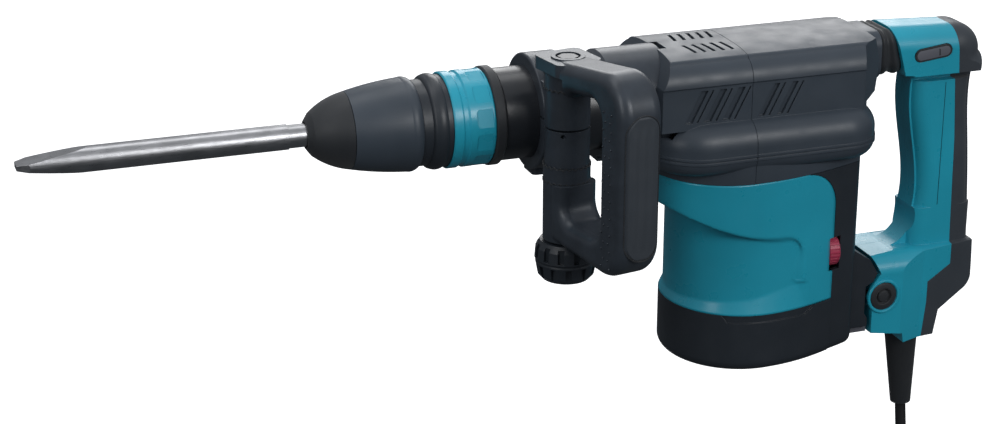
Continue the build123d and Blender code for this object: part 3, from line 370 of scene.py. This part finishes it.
def add_serrations(material):
    """Zigzag lines where the toothed rings of the column mesh."""
    groups = {"side_handle": (49.8, -36.2), "side_clamp": (37.6, -23.7)}
    for body, heights in groups.items():
        paths = []
        for height in heights:
            path = []
            for k in range(48):
                angle = 2 * math.pi * k / 48
                z = height + (1.1 if k % 2 else -1.1)
                path.append(at(COLUMN[0] + RING_R * math.cos(angle), COLUMN[1] + RING_R * math.sin(angle), z))
            paths.append(path)
        line_piece("serrations_" + body, paths, 0.42, body, material, closed=True)


# --- rear handle ---

PIVOT = (487.0, -186.5)
PIVOT_HALF_WIDTH = 35.0
RING_OUTLINE = [(-0.5, 15.2), (0.9, 15.0), (1.5, 14.4), (1.5, 13.2), (1.0, 12.6), (-1.0, 12.4)]
CAP_OUTLINE = [(-1.0, 12.3), (0.4, 12.1), (0.9, 11.2), (1.0, 7.4), (0.5, 6.9), (-1.0, 6.7), (-1.0, 5.2),
               (0.3, 5.0), (0.9, 4.5), (1.1, 3.4), (1.15, 0.01)]


def add_pivot_caps(rubber, teal):
    """Round rubber caps over the ends of the pivot pin, each in a raised ring."""
    for name, y in (("left", -PIVOT_HALF_WIDTH), ("right", PIVOT_HALF_WIDTH)):
        place = (PIVOT[0], y, PIVOT[1])
        turned_y("pivot_ring_" + name, place, RING_OUTLINE, "handle", teal)
        turned_y("pivot_cap_" + name, place, CAP_OUTLINE, "handle", rubber)


SWITCH = (524.0, 20.5)
SWITCH_LEAN = math.radians(6)
SWITCH_FACE = 26.2
MARK_FACE = 27.45


def add_switch_detail(pad, mark):
    """Raised pad on each end of the switch slider, with its on and off marks."""
    for name, y in (("on", -1), ("off", 1)):
        rows = []
        for depth, shrink in ((-2.0, 0.0), (0.3, 0.0), (0.9, 0.5), (1.1, 1.3)):
            row = []
            for k in range(56):
                angle = 2 * math.pi * k / 56
                straight = 11.2 if math.cos(angle) > 0 else -11.2
                x = straight + (5.0 - shrink) * math.cos(angle)
                z = (5.0 - shrink) * math.sin(angle)
                row.append((SWITCH[0] + x * math.cos(SWITCH_LEAN) - z * math.sin(SWITCH_LEAN),
                            y * (SWITCH_FACE + depth),
                            SWITCH[1] + x * math.sin(SWITCH_LEAN) + z * math.cos(SWITCH_LEAN)))
            rows.append(row)
        middle = tuple(sum(values) / 56 for values in zip(*rows[-1]))
        rows.append([middle] * 56)
        raised = grid_piece("switch_pad_" + name, rows, "switch_slider", pad, closed=True)
        raised.data.validate()
    bar = [at(529, -MARK_FACE, 24.0), at(529.6, -MARK_FACE, 18.4)]
    line_piece("switch_mark_on", [bar], 0.45, "switch_slider", mark)
    angles = [2 * math.pi * k / 24 for k in range(24)]
    ring = [at(524 + 2.6 * math.cos(angle), MARK_FACE, 20.8 + 2.6 * math.sin(angle)) for angle in angles]
    line_piece("switch_mark_off", [ring], 0.4, "switch_slider", mark, closed=True)


def grip_side(x, z):
    """How far the side of the rear grip stands from the middle at a place of its side view."""
    front = 513.5 + 8 * smoothstep((-25 - z) / 90)
    into = min(15.0, max(0.0, x - front))
    return 5 + math.sqrt(225 - (15 - into) ** 2)


def add_grip_lines(dark):
    """Parting line of the soft front of the rear grip, on both sides."""
    flat = [(541.5, -8 - 12 * k) for k in range(11)]
    arc = [(541 - 16 * (1 - math.cos(a)), -132 - 12 * math.sin(a)) for a in (0.3, 0.6, 0.9, 1.2, math.pi / 2)]
    outline = [(524, -2), (533, -2.5), (539, -4)] + flat + arc
    paths = []
    for sign in (-1, 1):
        paths.append([at(x, sign * (grip_side(x, z) + 0.02), z) for x, z in outline if -118 < z < -5])
    line_piece("grip_lines", paths, 0.28, "handle", dark)


# --- materials ---

class Shader:
    """A material's node tree with short calls for its nodes."""

    def __init__(self, name):
        self.material = bpy.data.materials.new(name)
        self.material.use_nodes = True
        self.tree = self.material.node_tree
        self.bsdf = self.tree.nodes["Principled BSDF"]
        self.coords = self.tree.nodes.new("ShaderNodeTexCoord").outputs["Object"]

    def node(self, kind, **values):
        node = self.tree.nodes.new(kind)
        for key, value in values.items():
            setattr(node, key, value)
        return node

    def join(self, source, target):
        self.tree.links.new(source, target)

    def noise(self, scale, detail=3.0, stretch=(1, 1, 1)):
        """Noise value over the object, stretched along an axis if asked."""
        place = self.node("ShaderNodeMapping")
        place.inputs["Scale"].default_value = stretch
        self.join(self.coords, place.inputs["Vector"])
        noise = self.node("ShaderNodeTexNoise")
        noise.inputs["Scale"].default_value = scale
        noise.inputs["Detail"].default_value = detail
        self.join(place.outputs["Vector"], noise.inputs["Vector"])
        return noise.outputs["Fac"]

    def mixed(self, fac, low, high, start=0.35, end=0.65):
        """Colour that goes from low to high as fac goes from start to end."""
        ramp = self.node("ShaderNodeValToRGB")
        ramp.color_ramp.elements[0].position = start
        ramp.color_ramp.elements[1].position = end
        ramp.color_ramp.elements[0].color = (*low, 1)
        ramp.color_ramp.elements[1].color = (*high, 1)
        self.join(fac, ramp.inputs["Fac"])
        return ramp.outputs["Color"]

    def ranged(self, fac, low, high):
        """Number that goes from low to high with fac."""
        spread = self.node("ShaderNodeMapRange")
        spread.inputs["From Min"].default_value = 0.3
        spread.inputs["From Max"].default_value = 0.7
        spread.inputs["To Min"].default_value = low
        spread.inputs["To Max"].default_value = high
        self.join(fac, spread.inputs["Value"])
        return spread.outputs["Result"]

    def bump(self, height, strength, distance=0.0003, rounding=0.0):
        """Surface relief from a height; rounding softens the edges of the mesh."""
        bump = self.node("ShaderNodeBump")
        bump.inputs["Strength"].default_value = strength
        bump.inputs["Distance"].default_value = distance
        self.join(height, bump.inputs["Height"])
        if rounding:
            bevel = self.node("ShaderNodeBevel", samples=4)
            bevel.inputs["Radius"].default_value = rounding
            self.join(bevel.outputs["Normal"], bump.inputs["Normal"])
        self.join(bump.outputs["Normal"], self.bsdf.inputs["Normal"])

    def base(self, colour, spread, scale=14.0):
        """Base colour with a slight drift over the surface."""
        low = [value * (1 - spread) for value in colour]
        high = [value * (1 + spread) for value in colour]
        self.join(self.mixed(self.noise(scale), low, high), self.bsdf.inputs["Base Color"])

    def set(self, **values):
        for key, value in values.items():
            self.bsdf.inputs[key.replace("_", " ").title()].default_value = value


def moulded(name, colour, gloss=(0.38, 0.5), grain=2600, relief=0.12, rounding=0.0007, spread=0.08):
    """Moulded plastic with a fine spark-eroded grain."""
    shader = Shader(name)
    shader.base(colour, spread)
    shader.join(shader.ranged(shader.noise(60), *gloss), shader.bsdf.inputs["Roughness"])
    shader.bump(shader.noise(grain, 2.0), relief, 0.0002, rounding)
    return shader


def worked_metal(name, colour, gloss, stretch=(1, 1, 1), scale=900, relief=0.1, metallic=1.0, rounding=0.0004,
                 spread=0.12):
    """Metal with the marks of its tool drawn out along an axis."""
    shader = Shader(name)
    shader.base(colour, spread, 60)
    shader.join(shader.ranged(shader.noise(scale, 4.0, stretch), *gloss), shader.bsdf.inputs["Roughness"])
    shader.bump(shader.noise(scale, 3.0, stretch), relief, 0.0002, rounding)
    shader.bsdf.inputs["Metallic"].default_value = metallic
    return shader


TEAL = (0.0184, 0.3705, 0.513)
SLATE = (0.046, 0.060, 0.078)
SLATE_DARK = (0.022, 0.028, 0.036)


def make_materials():
    """Every finish of the object by name."""
    finishes = {
        "teal": moulded("teal_plastic", TEAL, (0.26, 0.36), 3200, 0.05, spread=0.05),
        "teal_line": moulded("teal_groove", (0.003, 0.07, 0.10), (0.5, 0.6), 2600, 0.05),
        "slate": moulded("slate_plastic", SLATE, (0.36, 0.48), 2600, 0.10),
        "slate_dark": moulded("dark_plastic", SLATE_DARK, (0.34, 0.46), 2600, 0.10),
        "grey": moulded("grey_plastic", (0.13, 0.135, 0.16), (0.4, 0.5)),
        "red": moulded("red_plastic", (0.46, 0.045, 0.10), (0.3, 0.4), 2600, 0.06),
        "board": moulded("circuit_board", (0.02, 0.16, 0.06), (0.3, 0.45), 900, 0.2),
        "carbon": moulded("carbon", (0.02, 0.02, 0.022), (0.5, 0.65), 4000, 0.4),
        "black_gloss": moulded("black_gloss", (0.020, 0.023, 0.028), (0.28, 0.38), 1500, 0.04, spread=0.15),
        "slate_metal": worked_metal("slate_metal", (0.040, 0.050, 0.064), (0.3, 0.42), scale=1400,
                                    metallic=0.15),
        "cast": worked_metal("cast_aluminium", (0.52, 0.53, 0.55), (0.42, 0.6), scale=1600, relief=0.3),
        "bit": worked_metal("bit_steel", (0.47, 0.475, 0.49), (0.26, 0.42), (0.06, 1, 1), 1500, 0.16),
        "machined": worked_metal("machined_steel", (0.45, 0.45, 0.46), (0.2, 0.34), (1, 0.1, 0.1), 1500, 0.1),
        "black_steel": worked_metal("black_steel", (0.05, 0.052, 0.057), (0.3, 0.42), metallic=0.7),
        "spring": worked_metal("spring_steel", (0.30, 0.30, 0.31), (0.3, 0.42)),
        "lamination": worked_metal("laminations", (0.26, 0.26, 0.27), (0.4, 0.55), (0.04, 0.04, 1), 4000,
                                   0.6),
        "copper": worked_metal("enamelled_copper", (0.62, 0.24, 0.10), (0.22, 0.34), (1, 1, 0.1), 2200, 0.5),
        "brass": worked_metal("brass", (0.70, 0.52, 0.22), (0.25, 0.38)),
        "black_rubber": moulded("black_rubber", (0.018, 0.021, 0.025), (0.5, 0.62), 1800, 0.2),
        "slate_rubber": moulded("slate_rubber", (0.036, 0.045, 0.057), (0.46, 0.6), 1900, 0.22),
        "cord": moulded("cord_rubber", (0.012, 0.012, 0.014), (0.4, 0.52), 1500, 0.12),
    }
    finishes["teal"].set(coat_weight=0.12, coat_roughness=0.2)
    finishes["black_gloss"].set(coat_weight=0.15, coat_roughness=0.2)
    finishes["black_rubber"].set(sheen_weight=0.12, sheen_roughness=0.5)
    finishes["slate_rubber"].set(sheen_weight=0.12, sheen_roughness=0.5)
    return {name: shader.material for name, shader in finishes.items()}


NODES_OF = {
    "teal": ("motor_housing", "handle_left", "handle_right", "change_ring"),
    "slate": ("front_cover", "rear_top_cover", "release_sleeve"),
    "slate_dark": ("base_cap", "rear_cover", "sleeve_collar", "clamp_knob", "bellows"),
    "grey": ("under_plate", "switch_body", "brush_holders", "cooling_fan", "commutator"),
    "red": ("speed_dial",),
    "board": ("control_board",),
    "carbon": ("carbon_brushes",),
    "black_gloss": ("barrel",),
    "slate_metal": ("gear_case", "clamp_band", "column_collars", "side_handle"),
    "cast": ("crank_housing", "crank_cover", "piston"),
    "bit": ("chisel_bit",),
    "machined": ("tool_holder", "impact_bolt", "striker", "cylinder", "wrist_pin", "connecting_rod",
                 "crankshaft", "crank_gear", "armature_shaft", "ball_bearings", "lock_rollers", "pivot_pin"),
    "black_steel": ("handle_bolt", "housing_screws"),
    "spring": ("sleeve_spring", "vibration_spring"),
    "lamination": ("armature_core", "stator_core"),
    "copper": ("armature_windings", "field_coils"),
    "black_rubber": ("nose_cap", "flange_ring", "cylinder_rings", "pivot_bushes", "cord_guard",
                     "switch_slider"),
    "slate_rubber": ("side_grip_pad", "handle_rubber"),
    "cord": ("cord", "cord_coil", "plug"),
}


def dress(finishes):
    """Gives every CAD node its finish."""
    for finish, nodes in NODES_OF.items():
        for node in nodes:
            mesh = frame["nodes"][node].data
            mesh.materials.clear()
            mesh.materials.append(finishes[finish])


# --- cord ---

ROUTE = [(531, 0, -305), (532.6, -1, -330), (530, -12, -359), (526, -38, -377), (520, -72, -380.25),
         (510, -112, -380.25)]
COIL_CENTRE = (560, -115)
TURNS = [(1, 0), (0, 0), (0, 1), (1, 1), (1, 2), (0, 2), (0, 3), (1, 3), (2, 3), (3, 3), (3, 2), (2, 2),
         (2, 1), (3, 1)]
POINTS_PER_TURN = 16
COIL_INNER_R = 38.0


def coil_points():
    """Corners of the wound-up cord: each turn steps to its row and layer in its first quarter."""
    x, y = COIL_CENTRE
    lie = FLOOR_Z + CORD_D / 2
    points = []
    row, layer = 1.3, 0.0
    spread = 1 / math.cos(math.pi / POINTS_PER_TURN)
    for number, (next_row, next_layer) in enumerate(TURNS + [(3, 0)]):
        last = POINTS_PER_TURN // 4 if number == len(TURNS) else POINTS_PER_TURN
        for step in range(last):
            share = smoothstep(step / (POINTS_PER_TURN / 4))
            here = row + (next_row - row) * share
            height = layer + (next_layer - layer) * share
            angle = math.pi + 2 * math.pi * step / POINTS_PER_TURN
            radius = (COIL_INNER_R + CORD_D * here) * spread
            points.append((x + radius * math.cos(angle), y + radius * math.sin(angle), lie + CORD_D * height))
        row, layer = next_row, next_layer
    return points


def add_cord(material):
    """The mains cord as one smooth spline, from the guard to its plug."""
    outer = COIL_CENTRE[1] - COIL_INNER_R - 3 * CORD_D
    points = ROUTE[:-1] + coil_points() + [(562, outer, -380), (582, outer, -377), (601, outer, -372.5)]
    curve = bpy.data.curves.new("mains_cord", "CURVE")
    curve.dimensions = "3D"
    curve.bevel_depth = CORD_D / 2000
    curve.bevel_resolution = 5
    curve.use_fill_caps = True
    spline = curve.splines.new("NURBS")
    spline.points.add(len(points) - 1)
    for point, place in zip(spline.points, points):
        point.co = (*at(*place), 1)
    spline.order_u = 3
    spline.use_endpoint_u = True
    spline.resolution_u = 6
    curve.materials.append(material)
    cord = link("mains_cord", curve, "handle")
    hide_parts("cord", "cord_coil")


# --- surroundings ---

def add_light(name, place, aim, size, power):
    """Rectangular softbox that points at a place."""
    data = bpy.data.lights.new(name, "AREA")
    data.shape = "RECTANGLE"
    data.size, data.size_y = size
    data.energy = power
    light = bpy.data.objects.new(name, data)
    light.location = place
    light.rotation_euler = (Vector(aim) - Vector(place)).to_track_quat("-Z", "Y").to_euler()
    bpy.context.scene.collection.objects.link(light)


def add_surroundings():
    """Pale floor reaching past the view on every side, and soft studio light."""
    paper = Shader("paper")
    paper.base((0.93, 0.93, 0.93), 0.01, 3)
    paper.set(roughness=0.9, emission_color=(1, 1, 1, 1), emission_strength=0.62)
    mesh = bpy.data.meshes.new("paper_sweep")
    level = at(0, 0, FLOOR_Z).z - 0.0005
    shape = bmesh.new()
    shape.faces.new([shape.verts.new((x, y, level)) for x, y in ((-12, -12), (12, -12), (12, 12), (-12, 12))])
    shape.to_mesh(mesh)
    shape.free()
    mesh.materials.append(paper.material)
    paper_floor = bpy.data.objects.new("paper_sweep", mesh)
    bpy.context.scene.collection.objects.link(paper_floor)
    paper_floor.visible_diffuse = False
    paper_floor.visible_glossy = False
    add_light("top_box", (-0.5, 0.35, 1.3), (-0.35, 0, 0), (1.8, 0.5), 5)
    add_light("left_box", (-1.7, -0.9, 0.75), (-0.3, 0, -0.05), (0.5, 1.1), 5)
    add_light("front_box", (0.5, -2.2, 1.15), (-0.25, 0, -0.05), (1.2, 0.8), 22)
    add_light("rear_box", (0.6, 1.9, 0.9), (-0.2, 0, 0), (1.2, 1.0), 12)
    add_world()
    bpy.context.scene.view_settings.view_transform = "Standard"


def add_world():
    """Sky that is dim below and brighter above."""
    world = bpy.data.worlds.new("studio")
    world.use_nodes = True
    nodes, links = world.node_tree.nodes, world.node_tree.links
    coords = nodes.new("ShaderNodeTexCoord")
    split = nodes.new("ShaderNodeSeparateXYZ")
    ramp = nodes.new("ShaderNodeValToRGB")
    spread = nodes.new("ShaderNodeMapRange")
    spread.inputs["From Min"].default_value = -1
    ramp.color_ramp.elements[0].position = 0.42
    ramp.color_ramp.elements[0].color = (0.05, 0.055, 0.06, 1)
    ramp.color_ramp.elements[1].position = 0.8
    ramp.color_ramp.elements[1].color = (0.42, 0.43, 0.45, 1)
    links.new(coords.outputs["Generated"], split.inputs["Vector"])
    links.new(split.outputs["Z"], spread.inputs["Value"])
    links.new(spread.outputs["Result"], ramp.inputs["Fac"])
    links.new(ramp.outputs["Color"], nodes["Background"].inputs["Color"])
    bpy.context.scene.world = world


def main():
    """Builds the whole scene."""
    add_camera()
    finishes = make_materials()
    dress(finishes)
    add_cord(finishes["cord"])
    add_motor_housing(finishes["teal"])
    add_bellows(finishes["black_rubber"])
    add_grip_pad(finishes["slate_rubber"], finishes["black_rubber"])
    add_grip_dots(finishes["slate_metal"])
    add_serrations(finishes["black_rubber"])
    add_pivot_caps(finishes["black_rubber"], finishes["teal"])
    add_switch_detail(finishes["grey"], finishes["black_rubber"])
    add_grip_lines(finishes["teal_line"])
    add_surroundings()


main()
